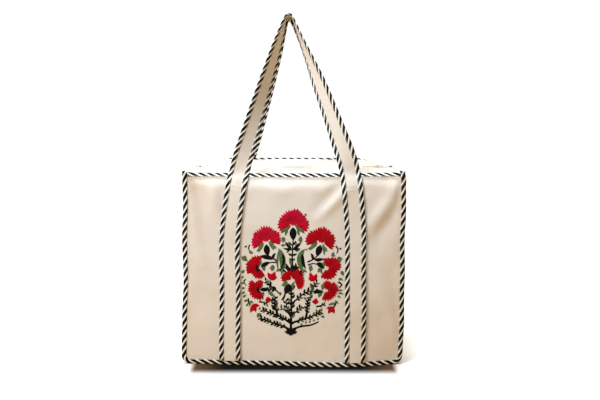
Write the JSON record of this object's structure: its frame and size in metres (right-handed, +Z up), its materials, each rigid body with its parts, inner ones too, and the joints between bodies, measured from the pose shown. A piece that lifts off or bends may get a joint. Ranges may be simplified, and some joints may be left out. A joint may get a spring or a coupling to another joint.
{
  "type": "tote bag",
  "caption": "Box-shaped canvas tote with striped bound edges, tall shoulder straps, a zip top and an embroidered flowering plant.",
  "frame": {"origin": "on the floor under the middle of the bag, midway between the front and rear panels", "axes": "+X to the bag's right seen from the front, +Y from the front panel to the rear panel, +Z up; the embroidered front faces -Y"},
  "size_m": [0.406, 0.1655, 0.662],
  "materials": {
    "canvas": "matte",
    "tape_cream": "matte",
    "tape_dark": "matte",
    "zip_fabric": "matte",
    "zip_coil": "satin",
    "zip_enamel": "satin",
    "thread_red": "satin",
    "thread_green": "satin",
    "thread_dark": "satin"
  },
  "bodies": {
    "bag": {"front_panel": "canvas", "rear_panel": "canvas", "left_gusset": "canvas", "right_gusset": "canvas", "base_panel": "canvas", "top_panel_front": "canvas", "top_panel_rear": "canvas", "front_strap": "canvas", "rear_strap": "canvas", "front_edge_binding": "tape_cream", "rear_edge_binding": "tape_cream", "front_top_binding": "tape_cream", "rear_top_binding": "tape_cream", "front_strap_inner_binding": "tape_cream", "front_strap_outer_binding": "tape_cream", "rear_strap_inner_binding": "tape_cream", "rear_strap_outer_binding": "tape_cream", "front_edge_stripes": "tape_dark", "rear_edge_stripes": "tape_dark", "front_top_stripes": "tape_dark", "rear_top_stripes": "tape_dark", "front_strap_inner_stripes": "tape_dark", "front_strap_outer_stripes": "tape_dark", "rear_strap_inner_stripes": "tape_dark", "rear_strap_outer_stripes": "tape_dark", "zip_tape_front": "zip_fabric", "zip_tape_rear": "zip_fabric", "zip_coil_front": "zip_coil", "zip_coil_rear": "zip_coil", "zip_closed_stops": "zip_coil", "zip_open_stop": "zip_coil", "embroidered_flowers": "thread_red", "embroidered_leaves": "thread_green", "embroidered_stems": "thread_dark"},
    "slider": {"zip_slider": "zip_enamel"},
    "pull": {"zip_pull": "zip_enamel"}
  },
  "joints": [
    {"name": "zip_slide", "type": "slide", "parent": "bag", "child": "slider", "axis": [1, 0, 0], "range_m": [-0.33, 0]},
    {"name": "pull_flip", "type": "hinge", "parent": "slider", "child": "pull", "pos_m": [0.165, 0, 0.36175], "axis": [0, 1, 0], "range_deg": [0, 180]}
  ]
}
